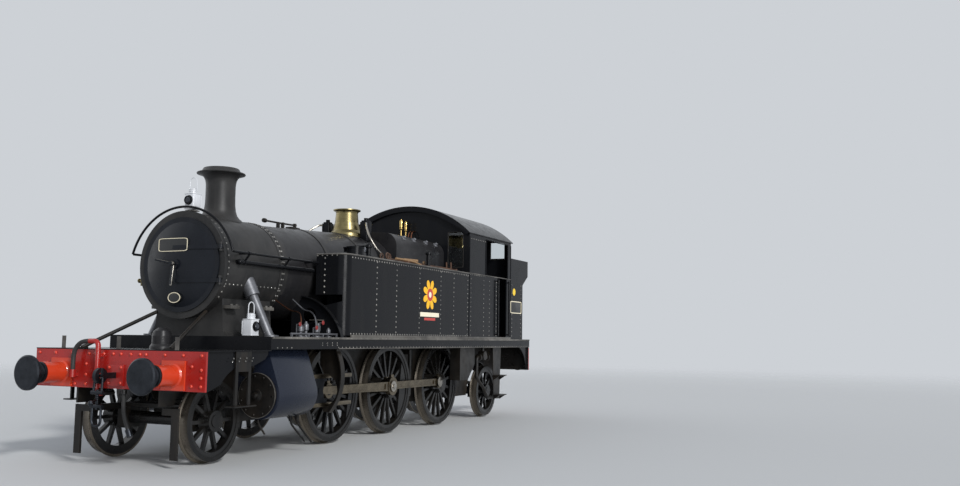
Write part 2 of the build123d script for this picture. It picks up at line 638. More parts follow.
def left_axlebox(x):
    """A block in the horn gap with the running bore for its axle, and the keep plate below."""
    block = box(
        x - AXLEBOX_HALF, x + AXLEBOX_HALF, BOX_INNER, FRAME_OUTER, DRIVER_Z - AXLEBOX_HALF, DRIVER_Z + AXLEBOX_HALF
    )
    spring_seat = box(
        x - 50, x + 50, BOX_INNER, FRAME_OUTER, DRIVER_Z - AXLEBOX_HALF - 70, DRIVER_Z - AXLEBOX_HALF
    )
    leaves = 5
    pack = spring_seat
    for number in range(leaves):
        span = 430 - number * 64
        top = DRIVER_Z - AXLEBOX_HALF - 70 - number * 20
        pack += box(x - span, x + span, BOX_INNER + 10, BOX_INNER + 100, top - 20, top)
    return block + pack - bar_y(
        BOX_INNER - 1, FRAME_OUTER + 1, x, DRIVER_Z, DRIVER_AXLE_RADIUS + RUNNING_CLEARANCE
    )


keep("coupled_axleboxes", group(*[both_sides(left_axlebox(x)) for x in COUPLED]))

# Buffer beams, buffers and drawgear
BEAM_HALF_WIDTH = DECK_HALF_WIDTH - 6.0


def buffer_beam(x0, x1):
    """A plate across the frames with its lower corners cut."""
    return cross_plate(
        [
            (-BEAM_HALF_WIDTH, BEAM_TOP), (BEAM_HALF_WIDTH, BEAM_TOP), (BEAM_HALF_WIDTH, BEAM_BOTTOM),
            (-BEAM_HALF_WIDTH, BEAM_BOTTOM),
        ],
        x0, x1,
    )


keep("buffer_beams", group(buffer_beam(FRAME_FRONT, BEAM_FRONT), buffer_beam(BEAM_REAR, FRAME_REAR)))

STOCK_BASE_HALF = 168.0
STOCK_BASE_THICKNESS = 24.0


def front_buffer_stock(y):
    """Square base and stepped round shell of a buffer."""
    shell = turned(
        [
            (0, 0), (STOCK_RADIUS + 14, 0), (STOCK_RADIUS, 20), (STOCK_RADIUS, STOCK_LENGTH - 40),
            (STOCK_RADIUS + 8, STOCK_LENGTH - 40), (STOCK_RADIUS + 8, STOCK_LENGTH), (0, STOCK_LENGTH),
        ],
        BEAM_FRONT + STOCK_BASE_THICKNESS, y, BUFFER_Z, "X",
    )
    base = box(
        BEAM_FRONT, BEAM_FRONT + STOCK_BASE_THICKNESS, y - STOCK_BASE_HALF, y + STOCK_BASE_HALF,
        BUFFER_Z - STOCK_BASE_HALF, BUFFER_Z + STOCK_BASE_HALF,
    )
    return base + shell


def front_buffer_head(y):
    """The plunger and its slightly domed head."""
    start = BEAM_FRONT + STOCK_BASE_THICKNESS + STOCK_LENGTH
    reach = BUFFER_LENGTH - STOCK_BASE_THICKNESS - STOCK_LENGTH
    back = reach - BUFFER_HEAD_THICKNESS
    return turned(
        [
            (0, 0), (PLUNGER_RADIUS, 0), (PLUNGER_RADIUS, back - 60), (PLUNGER_RADIUS + 60, back),
            (BUFFER_HEAD_RADIUS, back), (BUFFER_HEAD_RADIUS, reach - 14), (BUFFER_HEAD_RADIUS - 18, reach),
            (0, reach),
        ],
        start, y, BUFFER_Z, "X",
    )


def to_rear(shape):
    """A front piece turned round to the rear beam."""
    return Rot(0, 0, 180) * shape


stocks = [front_buffer_stock(y) for y in (BUFFER_HALF_SPACING, -BUFFER_HALF_SPACING)]
heads = [front_buffer_head(y) for y in (BUFFER_HALF_SPACING, -BUFFER_HALF_SPACING)]
keep("buffer_stocks", group(*stocks, *[to_rear(stock) for stock in stocks]))
keep("buffer_heads", group(*heads, *[to_rear(head) for head in heads]))

HOOK_THICKNESS = 46.0


def front_drawhook():
    """The drawhook: a shank through the beam and an upturned hook, with its face plate."""
    x = BEAM_FRONT
    z = BUFFER_Z - 20
    plate = box(x, x + 22, -120, 120, z - 120, z + 120)
    shank = box(x + 22, x + 170, -HOOK_THICKNESS / 2, HOOK_THICKNESS / 2, z - 34, z + 34)
    outer = bar_y(-HOOK_THICKNESS / 2, HOOK_THICKNESS / 2, x + 250, z, 92)
    hole = bar_y(-HOOK_THICKNESS, HOOK_THICKNESS, x + 250, z + 6, 38)
    mouth = box(x + 225, x + 262, -HOOK_THICKNESS, HOOK_THICKNESS, z + 6, z + 120)
    return plate + shank + outer - hole - mouth


hook = front_drawhook()
keep("drawhooks", group(hook, to_rear(hook)))

# Running plate, valances, front platform and drop brackets
VALANCE_THICKNESS = 12.0
REAR_PLATE_END = BEAM_REAR


def running_plate():
    """The deck to the rear beam, the lower front platform, the riser between them and the valances."""
    half = DECK_HALF_WIDTH
    deck = box(REAR_PLATE_END, RISER_X - PLATE, -half, half, DECK_BOTTOM, DECK_TOP)
    platform = box(RISER_X, BEAM_FRONT, -half, half, BEAM_TOP, FRONT_DECK_TOP)
    riser = box(RISER_X - PLATE, RISER_X, -half, half, BEAM_TOP, DECK_TOP)
    valance = box(
        REAR_PLATE_END, RISER_X - PLATE, half - VALANCE_THICKNESS, half, VALANCE_BOTTOM, DECK_BOTTOM
    )
    return group(deck, platform, riser, both_sides(valance))


FRONT_ARCH_RADIUS = CARRYING_DIAMETER / 2 + 60.0
SIDE_PLATE_INSET = 40.0


def left_front_side_plate():
    """The plate behind the beam's end, cut in an arch over the pony wheel."""
    outer = DECK_HALF_WIDTH - SIDE_PLATE_INSET
    plate = side_plate(
        [
            (FRAME_FRONT, BEAM_TOP), (FRAME_FRONT, BEAM_BOTTOM), (FRAME_FRONT - 60, BEAM_BOTTOM),
            (RISER_X + 60, VALANCE_BOTTOM - 120), (RISER_X, VALANCE_BOTTOM - 60), (RISER_X, BEAM_TOP),
        ],
        outer - PLATE, outer,
    )
    arch = bar_y(outer - PLATE - 1, outer + 1, PONY_X + 40, CARRYING_Z + 140, FRONT_ARCH_RADIUS)
    return plate - arch


def left_rear_bracket():
    """The quarter-curved bracket that carries the deck down to the rear beam."""
    outer = DECK_HALF_WIDTH - SIDE_PLATE_INSET
    radius = VALANCE_BOTTOM - BEAM_BOTTOM
    z_top = DECK_BOTTOM
    plate = side_plate(
        [
            (FRAME_REAR, z_top), (FRAME_REAR, BEAM_BOTTOM), (FRAME_REAR + 70, BEAM_BOTTOM),
            (FRAME_REAR + 70 + radius, VALANCE_BOTTOM), (FRAME_REAR + 70 + radius, z_top),
        ],
        outer - PLATE, outer,
    )
    return plate - bar_y(outer - PLATE - 1, outer + 1, FRAME_REAR + 70 + radius, BEAM_BOTTOM, radius)


REAR_TOP_HALF = DECK_HALF_WIDTH - VALANCE_THICKNESS
rear_beam_top = box(REAR_PLATE_END, FRAME_REAR, -REAR_TOP_HALF, REAR_TOP_HALF, BEAM_TOP, DECK_BOTTOM)
end_plates = group(both_sides(left_front_side_plate()), both_sides(left_rear_bracket()))
keep("running_plate", group(running_plate(), rear_beam_top, end_plates))

# Smokebox with its hinge lugs, and the door
RING_RADIUS = SMOKEBOX_RADIUS + SMOKEBOX_RING
RING_LENGTH = 60.0
DOOR_OPENING_RADIUS = DOOR_RADIUS - DOOR_LAP
HINGE_X = SMOKEBOX_FRONT + 36.0
HINGE_Y = DOOR_RADIUS + 38.0
HINGE_PIN_RADIUS = 13.0
HINGE_EYE_RADIUS = 25.0
STRAP_HALF_SPACING = 212.0
STRAP_HALF_HEIGHT = 26.0
STRAP_THICKNESS = 14.0
LUG_GAP = 5.0
LUG_HEIGHT = 26.0
TUBEPLATE = 30.0


def door_lugs():
    """The lugs and pins on the smokebox front that carry the door's straps."""
    lugs = None
    for z in (BOILER_Z - STRAP_HALF_SPACING, BOILER_Z + STRAP_HALF_SPACING):
        low = z - STRAP_HALF_HEIGHT - LUG_GAP
        high = z + STRAP_HALF_HEIGHT + LUG_GAP
        for z0, z1 in ((low - LUG_HEIGHT, low), (high, high + LUG_HEIGHT)):
            lug = box(SMOKEBOX_FRONT - 2, HINGE_X, HINGE_Y - 20, HINGE_Y + 20, z0, z1)
            lug += bar_z(z0, z1, HINGE_X, HINGE_Y, 20)
            lugs = lug if lugs is None else lugs + lug
        lugs += bar_z(low - LUG_HEIGHT, high + LUG_HEIGHT, HINGE_X, HINGE_Y, HINGE_PIN_RADIUS)
    return lugs


def smokebox():
    """The upper and lower wrapper, the tubeplate at the back, and the front plate with the door's lugs."""
    front = SMOKEBOX_FRONT - RING_LENGTH
    back = SMOKEBOX_REAR + TUBEPLATE
    inside = SMOKEBOX_RADIUS - SMOKEBOX_WALL
    wrapper = bar_x(back, front, 0, BOILER_Z, SMOKEBOX_RADIUS)
    wrapper -= bar_x(back - 1, front + 1, 0, BOILER_Z, inside)
    wrapper -= bar_z(BOILER_Z, BOILER_Z + SMOKEBOX_RADIUS + 10, CHIMNEY_X, 0, CHIMNEY_BORE)
    reach = SMOKEBOX_RADIUS + 10
    upper = wrapper & box(back, front, -reach, reach, BOILER_Z, BOILER_Z + reach)
    lower = wrapper & box(back, front, -reach, reach, BOILER_Z - reach, BOILER_Z)
    tubeplate = bar_x(SMOKEBOX_REAR, back, 0, BOILER_Z, SMOKEBOX_RADIUS + 7)
    plate = bar_x(front, SMOKEBOX_FRONT, 0, BOILER_Z, RING_RADIUS)
    plate -= bar_x(front - 1, SMOKEBOX_FRONT + 1, 0, BOILER_Z, DOOR_OPENING_RADIUS)
    return group(upper, lower, tubeplate, plate + door_lugs())


def dished_disc(radius, base, dish, flat):
    """A round disc along X with a flat rim and a dished middle."""
    inner = radius - flat
    edges = [
        Line((0, 0, 0), (radius, 0, 0)),
        Line((radius, 0, 0), (radius, 0, base)),
        Line((radius, 0, base), (inner, 0, base)),
        ThreePointArc((inner, 0, base), (inner * 0.5, 0, base + dish * 0.76), (0, 0, base + dish)),
        Line((0, 0, base + dish), (0, 0, 0)),
    ]
    return Rot(0, 90, 0) * revolve(make_face(edges), axis=Axis.Z)


DOOR_FLAT = 62.0
DART_Z = BOILER_Z


def smokebox_door():
    """The dished door with its two hinge straps, central dart and levers."""
    door = dished_disc(DOOR_RADIUS, DOOR_THICKNESS, DOOR_DISH, DOOR_FLAT)
    hollow = dished_disc(DOOR_RADIUS - DOOR_FLAT + 8, 0.5, DOOR_DISH - DOOR_THICKNESS, 4)
    door -= Pos(-0.4, 0, 0) * hollow
    proud = dished_disc(DOOR_RADIUS, DOOR_THICKNESS + STRAP_THICKNESS, DOOR_DISH, DOOR_FLAT)
    proud -= dished_disc(DOOR_RADIUS + 5, DOOR_THICKNESS - 4, DOOR_DISH - 2, DOOR_FLAT)
    place = Pos(SMOKEBOX_FRONT + DOOR_CLEARANCE, 0, BOILER_Z)
    result = place * door
    for level in (-STRAP_HALF_SPACING, STRAP_HALF_SPACING):
        low = level - STRAP_HALF_HEIGHT
        high = level + STRAP_HALF_HEIGHT
        result += place * (proud & box(0, DOOR_DISH * 2, -60, DOOR_RADIUS, low, high))
        edge = math.sqrt(DOOR_RADIUS ** 2 - STRAP_HALF_SPACING ** 2) - 40
        x0 = SMOKEBOX_FRONT + DOOR_CLEARANCE + DOOR_THICKNESS - 4
        arm = box(x0, x0 + STRAP_THICKNESS + 4, edge, HINGE_Y, BOILER_Z + low, BOILER_Z + high)
        arm += bar_z(BOILER_Z + low, BOILER_Z + high, HINGE_X, HINGE_Y, HINGE_EYE_RADIUS)
        arm -= bar_z(
            BOILER_Z + low - 1, BOILER_Z + high + 1, HINGE_X, HINGE_Y, HINGE_PIN_RADIUS + RUNNING_CLEARANCE
        )
        result += arm
    crown = SMOKEBOX_FRONT + DOOR_THICKNESS + DOOR_DISH
    result += bar_x(crown - 30, crown + 26, 0, DART_Z, 62)
    result += bar_x(crown, crown + 96, 0, DART_Z, 26)
    result += bar_between((crown + 50, 0, DART_Z), (crown + 60, -20, DART_Z - 270), 13)
    result += bar_between((crown + 78, 0, DART_Z), (crown + 88, -250, DART_Z + 50), 13)
    result += bar_x(SMOKEBOX_FRONT - 70, crown - 20, 0, DART_Z, 22)
    return result


CHIMNEY_BORE = 150.0
keep("smokebox", smokebox())
keep("smokebox_door", smokebox_door())

# Saddle under the smokebox, with the steam pipes and the struts
SADDLE_HALF_WIDTH = 560.0
SADDLE_FRONT = RISER_X - PLATE
SADDLE_REAR = SMOKEBOX_REAR + 120.0


def saddle():
    """The casting between the deck and the drum, hollowed to the drum's round."""
    flare = SADDLE_HALF_WIDTH + 60
    block = cross_plate(
        [
            (-flare, DECK_TOP), (flare, DECK_TOP), (flare, DECK_TOP + 40), (SADDLE_HALF_WIDTH, DECK_TOP + 60),
            (SADDLE_HALF_WIDTH - 40, BOILER_Z - SMOKEBOX_RADIUS * 0.55),
            (-SADDLE_HALF_WIDTH + 40, BOILER_Z - SMOKEBOX_RADIUS * 0.55),
            (-SADDLE_HALF_WIDTH, DECK_TOP + 60), (-flare, DECK_TOP + 40),
        ],
        SADDLE_REAR, SADDLE_FRONT,
    )
    return block - bar_x(SADDLE_REAR - 1, SADDLE_FRONT + 1, 0, BOILER_Z, SMOKEBOX_RADIUS)


keep("saddle", saddle())

STRUT_RADIUS = 24.0
STRUT_TOP_Y = 400.0
STRUT_FOOT_Y = 690.0
STRUT_REACH = 900.0


def left_strut():
    """A round stay from the drum's front ring down to the platform, with its foot."""
    foot_x = SMOKEBOX_FRONT + STRUT_REACH
    top = (SMOKEBOX_FRONT - RING_LENGTH * 0.5, STRUT_TOP_Y, BOILER_Z - RING_RADIUS + 90)
    foot = (foot_x, STRUT_FOOT_Y, FRONT_DECK_TOP + 10)
    stay = bar_between(top, foot, STRUT_RADIUS)
    stay += box(
        foot_x - 60, foot_x + 60, STRUT_FOOT_Y - 45, STRUT_FOOT_Y + 45, FRONT_DECK_TOP, FRONT_DECK_TOP + 18
    )
    stay -= bar_x(SMOKEBOX_REAR, SMOKEBOX_FRONT, 0, BOILER_Z, RING_RADIUS)
    stay -= box(foot_x - 300, foot_x + 300, 0, DECK_HALF_WIDTH, FRONT_DECK_TOP - 200, FRONT_DECK_TOP)
    return stay


keep("smokebox_struts", both_sides(left_strut()))

STEAM_PIPE_RADIUS = 62.0
STEAM_PIPE_X = (CYLINDER_REAR + CYLINDER_FRONT) / 2 + 180.0
STEAM_PIPE_FOOT_Y = 1000.0


def left_steam_pipe():
    """The outside steam pipe from the drum's side down to the deck over the cylinder."""
    top = (STEAM_PIPE_X, SMOKEBOX_RADIUS * 0.86, BOILER_Z - 180)
    foot = (STEAM_PIPE_X, STEAM_PIPE_FOOT_Y, DECK_TOP - 40)
    tube = bar_between(top, foot, STEAM_PIPE_RADIUS)
    tube += bar_between(
        top, (STEAM_PIPE_X, SMOKEBOX_RADIUS * 0.86 + 110, BOILER_Z - 390), STEAM_PIPE_RADIUS + 34
    )
    tube += bar_z(DECK_TOP, DECK_TOP + 22, STEAM_PIPE_X, STEAM_PIPE_FOOT_Y, STEAM_PIPE_RADIUS + 38)
    tube -= bar_x(SMOKEBOX_REAR, SMOKEBOX_FRONT, 0, BOILER_Z, SMOKEBOX_RADIUS + RUNNING_CLEARANCE)
    tube -= box(STEAM_PIPE_X - 300, STEAM_PIPE_X + 300, 0, DECK_HALF_WIDTH, DECK_TOP - 300, DECK_TOP)
    return tube


keep("steam_pipes", both_sides(left_steam_pipe()))

# Chimney, boiler, firebox and their fittings
CHIMNEY_RADIUS = 198.0


def chimney():
    """The turned stack with its capped lip and flared base, bored through."""
    top = CHIMNEY_TOP
    base = BOILER_Z + SMOKEBOX_RADIUS
    flare_top = base + 150
    outline = [
        (0, base - 140), (330, base - 140), (318, base - 20), (250, base + 60),
        (CHIMNEY_RADIUS + 8, flare_top),
        (CHIMNEY_RADIUS, flare_top + 60), (CHIMNEY_RADIUS, top - 250), (CHIMNEY_RADIUS + 22, top - 240),
        (CHIMNEY_RADIUS + 22, top - 214), (CHIMNEY_RADIUS + 4, top - 204), (CHIMNEY_RADIUS + 40, top - 150),
        (324, top - 130), (324, top - 104), (CHIMNEY_RADIUS + 60, top - 84), (CHIMNEY_RADIUS + 34, top),
        (0, top),
    ]
    stack = turned(outline, CHIMNEY_X, 0, 0, "Z")
    stack -= bar_x(CHIMNEY_X - 600, CHIMNEY_X + 600, 0, BOILER_Z, SMOKEBOX_RADIUS)
    return stack - bar_z(BOILER_Z, top + 1, CHIMNEY_X, 0, CHIMNEY_BORE)


keep("chimney", chimney())


def barrel_section(x):
    """The boiler's centre height and radius at a place along X; its underside stays level."""
    share = (SMOKEBOX_REAR - x) / BARREL_LENGTH
    radius = BARREL_RADIUS_FRONT + (BARREL_RADIUS_REAR - BARREL_RADIUS_FRONT) * share
    return BOILER_Z - BARREL_RADIUS_FRONT + radius, radius


def boiler():
    """The tapered barrel in its cladding, with its bands."""
    faces = []
    for x in (SMOKEBOX_REAR, BARREL_REAR):
        z, radius = barrel_section(x)
        faces.append(Pos(x, 0, z) * Rot(0, 90, 0) * Circle(radius))
    barrel = loft(faces, ruled=True)
    for share in (0.02, 0.36, 0.7):
        x = SMOKEBOX_REAR - BARREL_LENGTH * share
        z, radius = barrel_section(x)
        barrel += bar_x(x - 50, x, 0, z, radius + 5)
    return barrel


keep("boiler", boiler())

FIREBOX_WAIST = 600.0


def firebox():
    """The square-shouldered firebox casing between the barrel and the cab."""
    rear = CAB_FRONT
    half = FIREBOX_HALF_WIDTH
    shoulder_z = FIREBOX_TOP - FIREBOX_SHOULDER - 30
    shoulder_y = half - FIREBOX_SHOULDER
    corner = FIREBOX_SHOULDER * 0.707
    pts = {
        "foot": (FIREBOX_WAIST, DECK_TOP), "knee": (half, DECK_TOP + 800), "side": (half, shoulder_z),
        "mid": (shoulder_y + corner, shoulder_z + corner), "top": (shoulder_y, FIREBOX_TOP - 30),
    }

    def at(name, sign):
        y, z = pts[name]
        return (rear, y * sign, z)

    edges = [
        Line(at("foot", -1), at("foot", 1)), Line(at("foot", 1), at("knee", 1)),
        Line(at("knee", 1), at("side", 1)),
        ThreePointArc(at("side", 1), at("mid", 1), at("top", 1)),
        ThreePointArc(at("top", 1), (rear, 0, FIREBOX_TOP), at("top", -1)),
        ThreePointArc(at("top", -1), at("mid", -1), at("side", -1)),
        Line(at("side", -1), at("knee", -1)), Line(at("knee", -1), at("foot", -1)),
    ]
    return extrude(make_face(edges), amount=BARREL_REAR - rear, dir=(1, 0, 0))


keep("firebox", firebox())

def safety_valve_bonnet():
    """The tapering bell-mouthed cover over the safety valves."""
    z, radius = barrel_section(BONNET_X)
    base = z + radius
    outline = [
        (0, base - 120), (310, base - 120), (292, base), (235, base + 60), (196, base + 190),
        (183, BONNET_TOP - 60),
        (190, BONNET_TOP - 36), (226, BONNET_TOP - 16), (226, BONNET_TOP), (170, BONNET_TOP),
        (150, BONNET_TOP - 90), (0, BONNET_TOP - 90),
    ]
    cover = turned(outline, BONNET_X, 0, 0, "Z")
    return cover - boiler()


keep("safety_valve_bonnet", safety_valve_bonnet())

FEED_Y = 372.0
FEED_PIPE_RADIUS = 34.0


def left_top_feed():
    """A clack box beside the bonnet with its feed pipe down the barrel's side."""
    z, radius = barrel_section(BONNET_X)
    clack = bar_z(z + radius * 0.8, BONNET_TOP - 190, BONNET_X, FEED_Y, 52)
    clack += bar_z(BONNET_TOP - 200, BONNET_TOP - 150, BONNET_X, FEED_Y, 34)
    clack += box(BONNET_X - 62, BONNET_X + 62, FEED_Y - 62, FEED_Y + 62, BONNET_TOP - 330, BONNET_TOP - 300)
    far = radius + FEED_PIPE_RADIUS + 2
    bend = bar_between((BONNET_X, FEED_Y, z + 620), (BONNET_X, far - 4, z + 250), FEED_PIPE_RADIUS)
    down = bar_z(TANK_TOP - 300, z + 262, BONNET_X, far - 4, FEED_PIPE_RADIUS)
    return (clack + bend + down) - boiler() - left_tank_block()


TANK_LID_X = TANK_FRONT - 680.0
TANK_LID_Y = 1010.0
FILLER_RADIUS = 128.0
FILLER_HEIGHT = 130.0
LID_THICKNESS = 24.0
LID_PIN_RADIUS = 9.0
LUG_HALF = 20.0
TANK_RECESS_TOP = RAIL + 2110.0
TANK_RECESS_OUTER = TANK_OUTER - 55.0
TANK_RECESS_DEPTH = 300.0
FRONT_VENT_BACK = 1065.0
FRONT_VENT_HEIGHT = 240.0
REAR_VENT_BACK = 2895.0
REAR_VENT_HEIGHT = 285.0
LID_HINGE_Y = TANK_LID_Y - FILLER_RADIUS - 44.0
LID_HINGE_Z = TANK_TOP + FILLER_HEIGHT + 12.0


def left_tank_block():
    """The plain outline of a side tank with its rounded front corner."""
    block = box(CAB_FRONT, TANK_FRONT, TANK_INNER, TANK_OUTER, TANK_BASE, TANK_TOP)
    outer_front = block.edges().filter_by(Axis.Z).sort_by(lambda edge: edge.center().X + edge.center().Y)[-1]
    return fillet(outer_front, TANK_CORNER)


def left_tank():
    """A side tank on its base strip, with the recess in its front, and a filler neck and two vents on top."""
    tank = left_tank_block()
    tank += box(CAB_FRONT, TANK_FRONT - 60, TANK_INNER + 60, TANK_OUTER - 40, DECK_TOP, TANK_BASE)
    knee = (TANK_INNER + TANK_RECESS_OUTER) / 2
    tank -= cross_plate(
        [
            (TANK_INNER - 1, TANK_RECESS_TOP), (TANK_RECESS_OUTER, TANK_RECESS_TOP),
            (TANK_RECESS_OUTER, TANK_RECESS_TOP - 95), (knee, TANK_RECESS_TOP - 140),
            (TANK_INNER - 1, TANK_RECESS_TOP - 190),
        ],
        TANK_FRONT - TANK_RECESS_DEPTH, TANK_FRONT + 1,
    )
    neck = bar_z(TANK_TOP, TANK_TOP + FILLER_HEIGHT, TANK_LID_X, TANK_LID_Y, FILLER_RADIUS)
    neck -= bar_z(TANK_TOP + 20, TANK_TOP + FILLER_HEIGHT + 1, TANK_LID_X, TANK_LID_Y, FILLER_RADIUS - 12)
    x0 = TANK_LID_X - LUG_HALF
    x1 = TANK_LID_X + LUG_HALF
    lug = box(x0, x1, LID_HINGE_Y - 16, LID_HINGE_Y + 50, LID_HINGE_Z - 60, LID_HINGE_Z)
    lug -= bar_z(TANK_TOP, LID_HINGE_Z + 40, TANK_LID_X, TANK_LID_Y, FILLER_RADIUS - 4)
    lug -= box(x0 - 1, x1 + 1, LID_HINGE_Y + 17, TANK_LID_Y, LID_HINGE_Z - 14, LID_HINGE_Z + 40)
    lug += bar_x(x0, x1, LID_HINGE_Y, LID_HINGE_Z, 16)
    lug -= bar_x(x0 - 1, x1 + 1, LID_HINGE_Y, LID_HINGE_Z, LID_PIN_RADIUS + RUNNING_CLEARANCE)
    vents = [
        tank_vent(TANK_FRONT - FRONT_VENT_BACK, TANK_LID_Y, FRONT_VENT_HEIGHT),
        tank_vent(TANK_FRONT - REAR_VENT_BACK, TANK_OUTER - 190, REAR_VENT_HEIGHT),
    ]
    return group(tank, neck + lug, *vents)


def tank_vent(x, y, height):
    """A round vent on the tank's top with a domed cap."""
    outline = [
        (0, 0), (56, 0), (56, 12), (36, 20), (36, height - 70), (54, height - 60), (54, height - 24),
        (30, height),
        (0, height),
    ]
    return turned(outline, x, y, TANK_TOP, "Z")


def left_tank_lid():
    """The filler lid with its two hinge arms, pin and lifting bar."""
    z = TANK_TOP + FILLER_HEIGHT + 0.4
    lid = bar_z(z, z + LID_THICKNESS, TANK_LID_X, TANK_LID_Y, FILLER_RADIUS + 12)
    for x0, x1 in ((TANK_LID_X - 44, TANK_LID_X - 26), (TANK_LID_X + 26, TANK_LID_X + 44)):
        lid += box(x0, x1, LID_HINGE_Y, TANK_LID_Y - FILLER_RADIUS + 40, z + 4, z + LID_THICKNESS)
        lid += bar_x(x0, x1, LID_HINGE_Y, LID_HINGE_Z, 14)
    lid += bar_x(TANK_LID_X - 44, TANK_LID_X + 44, LID_HINGE_Y, LID_HINGE_Z, LID_PIN_RADIUS)
    lid += box(
        TANK_LID_X - 16, TANK_LID_X + 16, TANK_LID_Y - 90, TANK_LID_Y + FILLER_RADIUS + 50, z + 20, z + 40
    )
    return lid


SUPPORT_GAP = 14.0
SUPPORT_THICKNESS = 12.0
SUPPORT_RISE = 590.0
SUPPORT_TOP_Y = 600.0
SUPPORT_RIM = 12.0
SUPPORT_RIM_WIDTH = 70.0
SUPPORT_HOLE_RADIUS = 105.0


def support_face(x, inset):
    """The quarter-round face of a boiler support ahead of a tank."""
    top = DECK_TOP + SUPPORT_RISE - inset
    outer = TANK_OUTER - inset
    inner = SUPPORT_TOP_Y - 200
    middle = (
        x, (SUPPORT_TOP_Y + outer) / 2 + 165 - inset * 0.3, DECK_TOP + SUPPORT_RISE * 0.54 - inset * 0.4
    )
    edges = [
        Line((x, inner, DECK_TOP), (x, outer, DECK_TOP)),
        ThreePointArc((x, outer, DECK_TOP), middle, (x, SUPPORT_TOP_Y, top)),
        Line((x, SUPPORT_TOP_Y, top), (x, inner, top)),
        Line((x, inner, top), (x, inner, DECK_TOP)),
    ]
    return make_face(edges)


def left_support():
    """A flanged plate from the deck to the barrel, with a round way through it for a pipe."""
    x0 = TANK_FRONT + SUPPORT_GAP
    plate = extrude(support_face(x0, 0), amount=SUPPORT_THICKNESS, dir=(1, 0, 0))
    rim = extrude(support_face(x0, 0), amount=SUPPORT_RIM_WIDTH, dir=(1, 0, 0))
    rim -= extrude(support_face(x0 - 1, SUPPORT_RIM), amount=SUPPORT_RIM_WIDTH + 2, dir=(1, 0, 0))
    rim &= box(x0, x0 + SUPPORT_RIM_WIDTH, SUPPORT_TOP_Y, TANK_OUTER, DECK_TOP, DECK_TOP + SUPPORT_RISE)
    z, radius = barrel_section(x0)
    shape = plate + rim
    shape -= bar_x(x0 - 1, x0 + SUPPORT_RIM_WIDTH + 1, 0, z, radius + 1)
    hole_z = DECK_TOP + SUPPORT_RISE * 0.53
    return shape - bar_x(x0 - 1, x0 + SUPPORT_THICKNESS + 1, SUPPORT_TOP_Y + 110, hole_z, SUPPORT_HOLE_RADIUS)


keep("boiler_supports", both_sides(left_support()))
keep("top_feed", both_sides(left_top_feed()))
keep("side_tanks", both_sides(left_tank()))
keep("tank_lid_left", left_tank_lid())
keep("tank_lid_right", other_side(left_tank_lid()))

# Cab, roof, floor and bunker
ROOF_OVERHANG = 55.0
WINDOW_INNER_Y = 850.0
WINDOW_OUTER_Y = 1160.0
WINDOW_BOTTOM = WAIST + 110.0
REAR_WINDOW_BOTTOM = WAIST + 410.0
SIDE_OPENING_FRONT = CAB_FRONT - 730.0
SIDE_OPENING_REAR = CAB_REAR + 150.0
DOORWAY_FRONT = CAB_FRONT - DOORWAY_FRONT_FROM_CAB
DOORWAY_REAR = DOORWAY_FRONT - DOORWAY_WIDTH


def arched_section(x0, x1, half, low, eave, crown):
    """A plate across the engine with a curved top."""
    edges = [
        Line((x0, -half, low), (x0, half, low)), Line((x0, half, low), (x0, half, eave)),
        ThreePointArc((x0, half, eave), (x0, 0, crown), (x0, -half, eave)),
        Line((x0, -half, eave), (x0, -half, low)),
    ]
    return extrude(make_face(edges), amount=x1 - x0, dir=(1, 0, 0))


def cab_body():
    """Front, side and rear sheets with their windows, side openings and doorways cut."""
    crown = EAVE + ROOF_RISE
    shell = arched_section(CAB_REAR, CAB_FRONT, TANK_OUTER, DECK_TOP, EAVE, crown)
    shell -= arched_section(
        CAB_REAR + CAB_WALL, CAB_FRONT - CAB_WALL, TANK_OUTER - CAB_WALL, DECK_TOP - 1, EAVE, crown + 400
    )
    for sign in (1, -1):
        y0 = sign * (TANK_OUTER - CAB_WALL - 1)
        y1 = sign * (TANK_OUTER + 1)
        shell -= box(SIDE_OPENING_REAR, SIDE_OPENING_FRONT, min(y0, y1), max(y0, y1), WAIST, EAVE - 50)
        shell -= box(DOORWAY_REAR, DOORWAY_FRONT, min(y0, y1), max(y0, y1), DECK_TOP - 1, WAIST + 1)
        for x, low in ((CAB_FRONT, WINDOW_BOTTOM), (CAB_REAR, REAR_WINDOW_BOTTOM)):
            window = box(x - CAB_WALL - 1, x + CAB_WALL + 1, WINDOW_INNER_Y, WINDOW_OUTER_Y, low, EAVE + 20)
            shell -= window if sign > 0 else other_side(window)
    return shell


def cab_roof():
    """The curved roof sheet with its rain strips."""
    x0 = CAB_REAR - ROOF_OVERHANG
    x1 = CAB_FRONT + ROOF_OVERHANG
    crown = EAVE + ROOF_RISE
    half = TANK_OUTER + 20
    under = arched_section(x0 - 1, x1 + 1, TANK_OUTER, EAVE - 500, EAVE, crown)
    roof = arched_section(x0, x1, half, EAVE - 500, EAVE + 6, crown + ROOF_THICKNESS)
    roof -= under
    return roof - box(x0 - 1, x1 + 1, -half - 1, half + 1, EAVE - 501, EAVE - 10)


FLOOR_THICKNESS = 40.0
BACKHEAD_DEPTH = 330.0


def backhead():
    """The boiler's back plate inside the cab with its firehole door and regulator."""
    x1 = CAB_FRONT - CAB_WALL
    x0 = x1 - BACKHEAD_DEPTH
    half = FIREBOX_HALF_WIDTH - 120
    block = box(x0, x1, -half, half, DECK_TOP + FLOOR_THICKNESS, FIREBOX_TOP - 90)
    top_edges = block.edges().filter_by(Axis.X).group_by(Axis.Z)[-1]
    block = fillet(top_edges, FIREBOX_SHOULDER)
    block += box(x0 - 30, x0, -190, 190, DECK_TOP + 560, DECK_TOP + 860)
    block += bar_x(x0 - 60, x0, 0, FIREBOX_TOP - 420, 60)
    block += bar_between((x0 - 48, 0, FIREBOX_TOP - 420), (x0 - 48, 330, FIREBOX_TOP - 640), 14)
    return block


